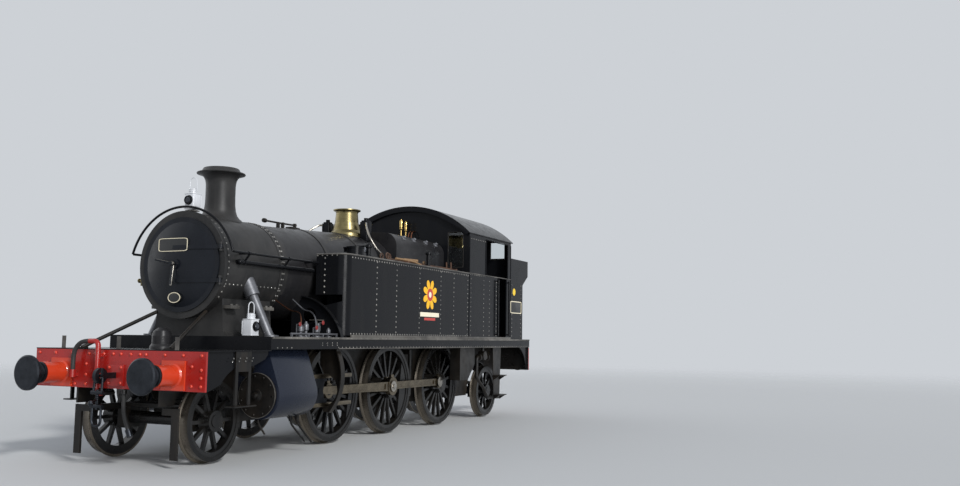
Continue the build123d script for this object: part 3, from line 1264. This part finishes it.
def bunker_outline(inset):
    """The bunker seen from the side, with its back flared over the beam."""
    lower = BEAM_REAR + BUNKER_LOWER_REAR_FROM_BEAM + inset
    upper = lower - BUNKER_FLARE
    flare_start = RAIL + BUNKER_FLARE_START_ABOVE_RAIL
    flare_end = RAIL + BUNKER_FLARE_END_ABOVE_RAIL
    return lower, upper, flare_start, flare_end


COAL_FLOOR_HEIGHT = 760.0
COAL_FLOOR_RISE = 260.0
COAL_FLOOR_FRONT = DECK_TOP + COAL_FLOOR_HEIGHT
COAL_FLOOR_REAR = COAL_FLOOR_FRONT + COAL_FLOOR_RISE


def bunker():
    """The coal bunker over its water space, open at the top."""
    lower, upper, flare_start, flare_end = bunker_outline(0)
    outer = side_plate(
        [
            (CAB_REAR, DECK_TOP), (lower, DECK_TOP), (lower, flare_start), (upper, flare_end),
            (upper, BUNKER_TOP),
            (CAB_REAR, BUNKER_TOP),
        ],
        -TANK_OUTER, TANK_OUTER,
    )
    lower, upper, flare_start, flare_end = bunker_outline(CAB_WALL)
    inner = side_plate(
        [
            (CAB_REAR - CAB_WALL, COAL_FLOOR_FRONT), (lower, COAL_FLOOR_REAR), (lower, flare_start),
            (upper, flare_end), (upper, BUNKER_TOP + 1), (CAB_REAR - CAB_WALL, BUNKER_TOP + 1),
        ],
        -TANK_OUTER + CAB_WALL, TANK_OUTER - CAB_WALL,
    )
    return outer - inner


keep("cab_body", cab_body())
keep("cab_roof", cab_roof())
keep("cab_floor", box(
    CAB_REAR + CAB_WALL, CAB_FRONT - CAB_WALL, -TANK_OUTER + CAB_WALL, TANK_OUTER - CAB_WALL, DECK_TOP,
    DECK_TOP + FLOOR_THICKNESS,
))
keep("backhead", backhead())
keep("bunker", bunker())

# Pony truck and rear truck, each a pivoted frame with its two axleboxes
TRUCK_BOX_INNER = 470.0
TRUCK_BOX_OUTER = 590.0
TRUCK_BOX_HALF = 130.0
TRUCK_ARM_HALF = 60.0
TRUCK_ARM_THICKNESS = 50.0
PIVOT_RADIUS = 60.0
PIVOT_EYE_RADIUS = 120.0
TRUCK_Z = CARRYING_Z + TRUCK_BOX_HALF


def truck(axle_x, pivot_x, guards):
    """Two arms from the pivot eye to the axleboxes, a cross beam over the axle, and the lifeguards."""
    low = TRUCK_Z
    high = TRUCK_Z + TRUCK_ARM_THICKNESS
    sense = 1 if axle_x > pivot_x else -1
    frame = box(axle_x - 90, axle_x + 90, -TRUCK_BOX_OUTER, TRUCK_BOX_OUTER, low, high)
    for sign in (1, -1):
        y = sign * (TRUCK_BOX_INNER + TRUCK_BOX_OUTER) / 2
        frame += flat_plate(
            [
                (pivot_x, -TRUCK_ARM_HALF), (pivot_x, TRUCK_ARM_HALF),
                (axle_x - 60 * sense, y + TRUCK_ARM_HALF),
                (axle_x - 60 * sense, y - TRUCK_ARM_HALF),
            ],
            low, high,
        )
        y0, y1 = sorted((sign * TRUCK_BOX_INNER, sign * TRUCK_BOX_OUTER))
        frame += box(
            axle_x - TRUCK_BOX_HALF, axle_x + TRUCK_BOX_HALF, y0, y1, CARRYING_Z - TRUCK_BOX_HALF, low
        )
        frame -= bar_y(y0 - 1, y1 + 1, axle_x, CARRYING_Z, CARRYING_AXLE_RADIUS + RUNNING_CLEARANCE)
    frame += bar_z(low, high, pivot_x, 0, PIVOT_EYE_RADIUS)
    frame -= bar_z(low - 1, high + 1, pivot_x, 0, PIVOT_RADIUS + RUNNING_CLEARANCE)
    if guards:
        nose = axle_x + CARRYING_DIAMETER / 2 + 130
        for sign in (1, -1):
            y0, y1 = sorted((sign * 560.0, sign * 590.0))
            frame += box(axle_x + 80, nose, y0, y1, low - 30, high)
            y0, y1 = sorted((sign * 560.0, sign * 800.0))
            frame += box(nose - 30, nose, y0, y1, low - 30, high)
            y0, y1 = sorted((sign * 700.0, sign * 800.0))
            frame += box(nose - 30, nose, y0, y1, RAIL + 75, high)
    return frame


keep("pony_truck", truck(PONY_X, PONY_PIVOT_X, True))
keep("rear_truck", truck(REAR_X, REAR_PIVOT_X, False))


def pivot_pin(x):
    """The pin that a truck swings on, hung from a cross-stretcher between the frames."""
    low = TRUCK_Z - 30
    top = TRUCK_Z + TRUCK_ARM_THICKNESS + 8
    pin = bar_z(low, top + 60, x, 0, PIVOT_RADIUS)
    pin += bar_z(top, top + 60, x, 0, PIVOT_EYE_RADIUS)
    beam = box(x - 60, x + 60, -FRAME_HALF_SPACING, FRAME_HALF_SPACING, top + 50, top + 170)
    return pin + beam


keep("truck_pivots", group(pivot_pin(PONY_PIVOT_X), pivot_pin(REAR_PIVOT_X)))

# Ashpan, brake gear, sandboxes and injectors below the deck
BRAKE_BLOCK_THICKNESS = 60.0
BRAKE_HANGER_Z = DRIVER_Z + DRIVER_DIAMETER / 2 + 10


def brake_hanger(x):
    """A hanger with its brake block behind one coupled wheel, on its bracket from the frame."""
    radius = DRIVER_DIAMETER / 2 + 6
    middle = (WHEEL_BACK + WHEEL_FACE) / 2 + 12
    y0 = middle - 40
    y1 = middle + 40
    ring = bar_y(y0, y1, x, DRIVER_Z, radius + BRAKE_BLOCK_THICKNESS) - bar_y(y0 - 1, y1 + 1, x, DRIVER_Z, radius)
    block = ring & box(x - radius - 100, x - radius + 60, y0, y1, DRIVER_Z - 170, DRIVER_Z + 170)
    back = x - radius - BRAKE_BLOCK_THICKNESS
    hanger = side_plate(
        [
            (back - 34, DRIVER_Z - 60), (back + 14, DRIVER_Z - 60), (back + 14, DRIVER_Z + 60),
            (back + 30, BRAKE_HANGER_Z - 120), (back - 30, BRAKE_HANGER_Z - 120),
        ],
        middle - 18, middle + 18,
    )
    bracket = box(back - 34, back + 34, FRAME_OUTER, middle + 18, BRAKE_HANGER_Z - 190, BRAKE_HANGER_Z - 110)
    return block + hanger + bracket


keep("brake_gear", group(*[both_sides(brake_hanger(x)) for x in (DRIVING_X, TRAILING_X)]))

ASHPAN_HALF = 560.0


def ashpan():
    """The ashpan's front hopper between two axles, and its hump over the trailing axle."""
    front = (DRIVING_X + TRAILING_X) / 2 - 40
    step = TRAILING_X + AXLEBOX_HALF + 80
    low = DRIVER_Z - 100
    hopper = side_plate(
        [(front, DECK_BOTTOM), (step, DECK_BOTTOM), (step, low), (front - 90, low), (front, low + 260)],
        -ASHPAN_HALF, ASHPAN_HALF,
    )
    hump = box(CAB_FRONT, step, -ASHPAN_HALF, ASHPAN_HALF, DRIVER_Z + AXLEBOX_HALF + 20, DECK_BOTTOM)
    return group(hopper, hump)


keep("ashpan", ashpan())

SANDBOX_FRONT = CAB_FRONT + 150.0
SANDBOX_LENGTH = 620.0
SANDBOX_ROD_GAP = 25.0
SANDBOX_INNER = END_PIN + SANDBOX_ROD_GAP
SANDBOX_OUTER = 1200.0


def left_sandbox():
    """A sandbox hung under the deck ahead of the cab steps, with its pipe to the rail."""
    rear = SANDBOX_FRONT - SANDBOX_LENGTH
    shape = side_plate(
        [
            (SANDBOX_FRONT, DECK_BOTTOM), (SANDBOX_FRONT, DRIVER_Z + 60),
            (SANDBOX_FRONT - 340, DRIVER_Z + 60),
            (rear, DRIVER_Z + 330), (rear, DECK_BOTTOM),
        ],
        SANDBOX_INNER, SANDBOX_OUTER,
    )
    return shape


keep("sandboxes", both_sides(left_sandbox()))

INJECTOR_Y = 1130.0
INJECTOR_X = CAB_FRONT - 990.0
INJECTOR_Z = DECK_BOTTOM - 330.0
INJECTOR_RADIUS = 46.0
FEED_WATER_RADIUS = 30.0
FEED_WATER_LOW = RAIL + 375.0


def left_injector():
    """An injector hung under the deck, with its round valve cover and the water pipe behind the steps."""
    x = INJECTOR_X
    y = INJECTOR_Y
    z = INJECTOR_Z
    body = bar_x(x - 200, x + 200, y, z, INJECTOR_RADIUS)
    for end in (x - 200, x + 180):
        body += bar_x(end, end + 20, y, z, INJECTOR_RADIUS + 20)
    body += bar_y(y - 60, y + 60, x, z + 30, 84)
    body += box(x - 30, x + 30, y - 20, y + 20, z, DECK_BOTTOM)
    route = [
        (x + 190, y, z), (x + 260, y, z), (x + 260, y, DRIVER_Z + 80), (x - 60, y, DRIVER_Z - 120),
        (x - 220, y, FEED_WATER_LOW + 20), (x - 820, y, FEED_WATER_LOW),
    ]
    return body + pipe(route, FEED_WATER_RADIUS, 60)


keep("injectors", both_sides(left_injector()))

STEP_INSET = 110.0
STEP_TREAD = 140.0


CAB_TREAD_HEIGHTS = (RAIL + 430.0, RAIL + 800.0)
FRONT_TREAD_Z = RAIL + 676.0
FRONT_STEP_PLATE_DROP = 238.0
FRONT_STEP_PLATE_Z = BEAM_TOP - FRONT_STEP_PLATE_DROP
TREAD_THICKNESS = 16.0


def left_cab_step():
    """The hanging step plate below the doorway with its two treads and their brackets."""
    x1 = DOORWAY_FRONT + 30
    x0 = DOORWAY_REAR + 40
    y = DECK_HALF_WIDTH - STEP_INSET
    low = CAB_TREAD_HEIGHTS[0]
    plate = side_plate([(x0, DECK_BOTTOM), (x0 + 60, low), (x1 - 60, low), (x1, DECK_BOTTOM)], y - 14, y)
    solids = [plate]
    for z in CAB_TREAD_HEIGHTS:
        tread = box(x0 + 30, x1 - 30, y, y + STEP_TREAD, z, z + TREAD_THICKNESS)
        for x in (x0 + 44, x1 - 58):
            tread += side_bracket(x, y, z)
        solids.append(tread)
    return group(*solids)


def side_bracket(x, y, z):
    """A small gusset under a tread."""
    return cross_plate([(y, z), (y + STEP_TREAD - 20, z), (y, z - 80)], x, x + 14)


def left_front_step():
    """Two bars hung from a plate below the front platform, with one tread across them."""
    x0 = PONY_X - 110
    x1 = PONY_X + 300
    y0 = DECK_HALF_WIDTH - SIDE_PLATE_INSET
    y1 = y0 + 22
    top = box(x0 + 60, x1 - 60, y0, y1, FRONT_STEP_PLATE_Z, BEAM_TOP)
    low = FRONT_TREAD_Z + TREAD_THICKNESS
    bars = [box(x, x + 50, y0, y1, low, FRONT_STEP_PLATE_Z) for x in (x0 + 60, x1 - 110)]
    tread = box(x0, x1, y0 - STEP_TREAD / 2, y0 + STEP_TREAD / 2, FRONT_TREAD_Z, low)
    return group(top, *bars, tread)


keep("steps", group(both_sides(left_cab_step()), both_sides(left_front_step())))

# Handrails, pipes, lamps and small fittings
HANDRAIL_RADIUS = 16.0
HANDRAIL_Y = 820.0
HANDRAIL_RISE = 150.0
HANDRAIL_ARCH_GAP = 52.0
POST_RADIUS = 14.0
KNOB_HALF = 20.0


def boiler_handrails():
    """The rail along each side, the arch over the drum that joins them, and the posts they pass through."""
    z = BOILER_Z + HANDRAIL_RISE
    front = SMOKEBOX_FRONT + 10
    top = BOILER_Z + RING_RADIUS + HANDRAIL_ARCH_GAP
    arch_line = ThreePointArc((front, -HANDRAIL_Y, z), (front, 0, top), (front, HANDRAIL_Y, z))
    arch = sweep(Plane(origin=arch_line @ 0, z_dir=arch_line % 0) * Circle(HANDRAIL_RADIUS), path=arch_line)
    rail = bar_x(TANK_FRONT, front - HANDRAIL_RADIUS, HANDRAIL_Y, z, HANDRAIL_RADIUS)
    posts = []
    for x in (SMOKEBOX_FRONT - 320, SMOKEBOX_REAR + 100, TANK_FRONT + 110):
        centre, radius = barrel_section(x) if x < SMOKEBOX_REAR else (BOILER_Z, SMOKEBOX_RADIUS)
        reach = math.sqrt(radius ** 2 - (z - POST_RADIUS - centre) ** 2)
        post = bar_y(reach + 0.3, HANDRAIL_Y, x, z, POST_RADIUS)
        post += bar_x(x - KNOB_HALF, x + KNOB_HALF, HANDRAIL_Y, z, HANDRAIL_RADIUS + 7)
        posts.append(post - bar_x(x - 30, x + 30, HANDRAIL_Y, z, HANDRAIL_RADIUS + RUNNING_CLEARANCE))
    return group(arch, both_sides(rail), *[both_sides(post) for post in posts])


DOOR_RAIL_RADIUS = 17.0
DOOR_RAIL_GAP = 40.0
DOOR_RAIL_BOTTOM = DECK_TOP + 60.0


def left_door_rails():
    """The upright handrails each side of the doorway, each held off the sheet by two stubs."""
    solids = []
    y = TANK_OUTER + DOOR_RAIL_GAP
    top = WAIST - 40
    for x in (DOORWAY_FRONT + 60, DOORWAY_REAR - 60):
        rail = bar_z(DOOR_RAIL_BOTTOM, top, x, y, DOOR_RAIL_RADIUS)
        solids.append(rail)
        for z in (DOOR_RAIL_BOTTOM + 30, top - 30):
            stub = bar_y(TANK_OUTER, y, x, z, DOOR_RAIL_RADIUS - 3)
            solids.append(stub - bar_z(z - 40, z + 40, x, y, DOOR_RAIL_RADIUS + RUNNING_CLEARANCE))
    return group(*solids)


keep("handrails", group(boiler_handrails(), both_sides(left_door_rails())))

EJECTOR_PIPE_RADIUS = 28.0
EJECTOR_PIPE_Z = BOILER_Z + 40.0


def ejector_pipe():
    """The thick pipe along the left of the boiler, into the drum's side."""
    y = SMOKEBOX_RADIUS + EJECTOR_PIPE_RADIUS + 22
    x = SMOKEBOX_FRONT - 250
    pipe_run = bar_x(TANK_FRONT, x, y, EJECTOR_PIPE_Z, EJECTOR_PIPE_RADIUS)
    pipe_run += Pos(x, y, EJECTOR_PIPE_Z) * Sphere(EJECTOR_PIPE_RADIUS * 1.3)
    pipe_run += bar_y(SMOKEBOX_RADIUS - 40, y, x, EJECTOR_PIPE_Z, EJECTOR_PIPE_RADIUS)
    return pipe_run - bar_x(SMOKEBOX_REAR, SMOKEBOX_FRONT, 0, BOILER_Z, SMOKEBOX_RADIUS)


keep("ejector_pipe", ejector_pipe())

LAMP_WIDTH = 160.0
LAMP_HEIGHT = 220.0
LAMP_CAP = 80.0
BAIL_RISE = 137.0
BAIL_HALF_WIDTH = 52.0
LAMP_PLACES = (
    (SMOKEBOX_FRONT - 160.0, 0.0, BOILER_Z + SMOKEBOX_RADIUS + 40.0, 0.0),
    (RISER_X - 110.0, 914.0, DECK_TOP, 90.0),
)


def lamp(x, y, z, facing):
    """A headlamp: case, collar, stepped cap, lens and bail; facing turns the lens from straight ahead."""
    half = LAMP_WIDTH / 2
    case = box(-half, half, -half, half, 14, LAMP_HEIGHT)
    case = fillet(case.edges().filter_by(Axis.Z), 18)
    case += bar_z(0, 14, 0, 0, half - 12)
    case += bar_z(LAMP_HEIGHT, LAMP_HEIGHT + LAMP_CAP / 2, 0, 0, 62)
    case += bar_z(LAMP_HEIGHT, LAMP_HEIGHT + LAMP_CAP, 0, 0, 46)
    case += bar_x(half, half + 26, 0, LAMP_HEIGHT * 0.52, 52)
    foot = LAMP_HEIGHT - 10
    top = LAMP_HEIGHT + LAMP_CAP + BAIL_RISE
    bail_line = ThreePointArc((0, -BAIL_HALF_WIDTH, foot), (0, 0, top), (0, BAIL_HALF_WIDTH, foot))
    bail = sweep(Plane(origin=bail_line @ 0, z_dir=bail_line % 0) * Circle(6), path=bail_line)
    return Pos(x, y, z) * Rot(0, 0, facing) * (case + bail)


LAMP_BRACKET_WIDTH = 70.0


def lamp_bracket():
    """The iron on the drum's top that holds the upper lamp."""
    x, y, z, facing = LAMP_PLACES[0]
    top_plate = Pos(x, y, z - 7) * Rot(0, 0, facing) * Box(120, 2 * LAMP_BRACKET_WIDTH, 14)
    leg = box(x - 40, x + 40, -12, 12, BOILER_Z + SMOKEBOX_RADIUS, z - 14)
    return top_plate + leg


IRON_HEIGHT = 150.0
IRON_HALF_WIDTH = 26.0
IRON_PLACES = (-880.0, 0.0, 880.0)


def lamp_iron(y, base):
    """An upright iron on the beam for a lamp."""
    x = BEAM_FRONT
    return box(x - 20, x - 6, y - IRON_HALF_WIDTH, y + IRON_HALF_WIDTH, base, base + IRON_HEIGHT)


keep("lamps", group(*[lamp(*place) for place in LAMP_PLACES]))
front_irons = [lamp_iron(y, FRONT_DECK_TOP) for y in IRON_PLACES]
rear_irons = [to_rear(lamp_iron(y, DECK_TOP)) for y in IRON_PLACES]
keep("lamp_irons", group(lamp_bracket(), *front_irons, *rear_irons))

DOME_RADIUS = 122.0
DOME_HEIGHT = 260.0
DOME_FROM_BEAM = 720.0


def platform_dome():
    """The bell-shaped cover on the front platform."""
    outline = [
        (0, 0), (DOME_RADIUS + 26, 0), (DOME_RADIUS + 20, 30), (DOME_RADIUS, 60),
        (DOME_RADIUS, DOME_HEIGHT * 0.62),
        (DOME_RADIUS * 0.82, DOME_HEIGHT * 0.86), (DOME_RADIUS * 0.4, DOME_HEIGHT), (0, DOME_HEIGHT),
    ]
    return turned(outline, BEAM_FRONT - DOME_FROM_BEAM, 0, FRONT_DECK_TOP, "Z")


keep("platform_dome", platform_dome())

WHISTLE_RADIUS = 30.0
WHISTLE_HEIGHT = 190.0
WHISTLE_FROM_CAB = (250.0, 70.0)


def whistle(x):
    """A bell whistle on its stem."""
    base = FIREBOX_TOP
    stem = bar_z(base, base + WHISTLE_HEIGHT * 0.4, x, 0, WHISTLE_RADIUS * 0.4)
    cup = bar_z(base + WHISTLE_HEIGHT * 0.4, base + WHISTLE_HEIGHT * 0.48, x, 0, WHISTLE_RADIUS)
    bell = bar_z(base + WHISTLE_HEIGHT * 0.52, base + WHISTLE_HEIGHT, x, 0, WHISTLE_RADIUS)
    core = bar_z(base + WHISTLE_HEIGHT * 0.4, base + WHISTLE_HEIGHT + 16, x, 0, WHISTLE_RADIUS * 0.4)
    return stem + cup + bell + core


keep("whistles", group(*[whistle(CAB_FRONT + gap) for gap in WHISTLE_FROM_CAB]))

STANDPIPE_RADIUS = 30.0
STANDPIPE_RISE = 90.0
STANDPIPE_Y = -235.0
STANDPIPE_X = BEAM_FRONT + 70.0
STANDPIPE_TOP = FRONT_DECK_TOP + STANDPIPE_RISE


def vacuum_standpipe():
    """The brake pipe that rises in front of the beam, with its clips and swan neck end."""
    route = [
        (BEAM_FRONT - 200, STANDPIPE_Y, BEAM_BOTTOM - 60), (STANDPIPE_X, STANDPIPE_Y, BEAM_BOTTOM - 60),
        (STANDPIPE_X, STANDPIPE_Y, STANDPIPE_TOP), (STANDPIPE_X, STANDPIPE_Y - 140, STANDPIPE_TOP),
    ]
    tube = pipe(route, STANDPIPE_RADIUS, 60)
    for z in (BEAM_BOTTOM + 90, BEAM_TOP - 60):
        tube += box(BEAM_FRONT, STANDPIPE_X, STANDPIPE_Y - 22, STANDPIPE_Y + 22, z - 20, z + 20)
    return tube


HOSE_RADIUS = 27.0
HOSE_POINTS = (
    (STANDPIPE_X, STANDPIPE_Y - 140, STANDPIPE_TOP),
    (STANDPIPE_X, STANDPIPE_Y - 230, STANDPIPE_TOP),
    (STANDPIPE_X + 8, STANDPIPE_Y - 318, STANDPIPE_TOP - 46),
    (STANDPIPE_X + 10, STANDPIPE_Y - 372, STANDPIPE_TOP - 136),
    (STANDPIPE_X + 6, STANDPIPE_Y - 382, STANDPIPE_TOP - 240),
    (STANDPIPE_X + 6, STANDPIPE_Y - 382, STANDPIPE_TOP - 340),
)


def hose(points, radius):
    """A free hose: straight runs joined by arcs as large as the runs allow."""
    vectors = [Vector(*point) for point in points]
    radii = []
    for before, here, after in zip(vectors, vectors[1:], vectors[2:]):
        turn = math.radians((here - before).get_angle(after - here))
        shorter = min((here - before).length, (after - here).length)
        radii.append(0.45 * shorter / math.tan(turn / 2))
    print("hose bend radii, mm:", [round(value) for value in radii])
    path = FilletPolyline(*points, radius=radii)
    tube = sweep(Plane(origin=path @ 0, z_dir=path % 0) * Circle(radius), path=path)
    share = tube.volume / path.length / math.pi / radius ** 2
    print("hose length, mm:", round(path.length), "volume share:", round(share, 3))
    return tube


def hose_stop(point, radius):
    """The dummy coupling on the beam that the hose's free end is hung on."""
    x, y, z = point
    cup = bar_z(z - 90, z, x, y, radius + 12)
    arm = box(BEAM_FRONT, x, y - 16, y + 16, z - 80, z - 40)
    return cup + arm



keep("vacuum_hose", hose(HOSE_POINTS, HOSE_RADIUS))

HEAT_HOSE_RADIUS = 24.0
HEAT_X = BEAM_FRONT - 70.0
HEAT_TOP = BEAM_BOTTOM - 60.0
HEAT_POINTS = (
    (HEAT_X, 60, HEAT_TOP),
    (HEAT_X, 60, HEAT_TOP - 100),
    (HEAT_X + 14, 84, HEAT_TOP - 206),
    (HEAT_X + 24, 126, HEAT_TOP - 310),
    (HEAT_X + 26, 176, HEAT_TOP - 410),
)


def heat_pipe_end():
    """The steam heating cock below the beam that the hanging hose leaves."""
    x, y, z = HEAT_POINTS[0]
    cock = bar_z(z, BEAM_BOTTOM - 4, x, y, HEAT_HOSE_RADIUS + 10)
    bracket = box(x - 40, FRAME_FRONT, y - 40, y + 40, BEAM_BOTTOM - 14, BEAM_BOTTOM + 60)
    return cock + bracket


def hose_coupling(points, radius):
    """The claw coupling on the hanging end of a hose."""
    end = Vector(*points[-1])
    direction = (end - Vector(*points[-2])).normalized()
    far = end + direction * 90
    return bar_between(tuple(end), tuple(far), radius + 12)


keep("train_pipes", group(vacuum_standpipe(), hose_stop(HOSE_POINTS[-1], HOSE_RADIUS), heat_pipe_end()))
keep("heating_hose", hose(HEAT_POINTS, HEAT_HOSE_RADIUS))
keep("heating_hose_coupling", hose_coupling(HEAT_POINTS, HEAT_HOSE_RADIUS))

os.makedirs("parts", exist_ok=True)
for name, shape in NODES.items():
    export_step(shape, os.path.join("parts", name + ".step"))
print(len(NODES), "nodes written")
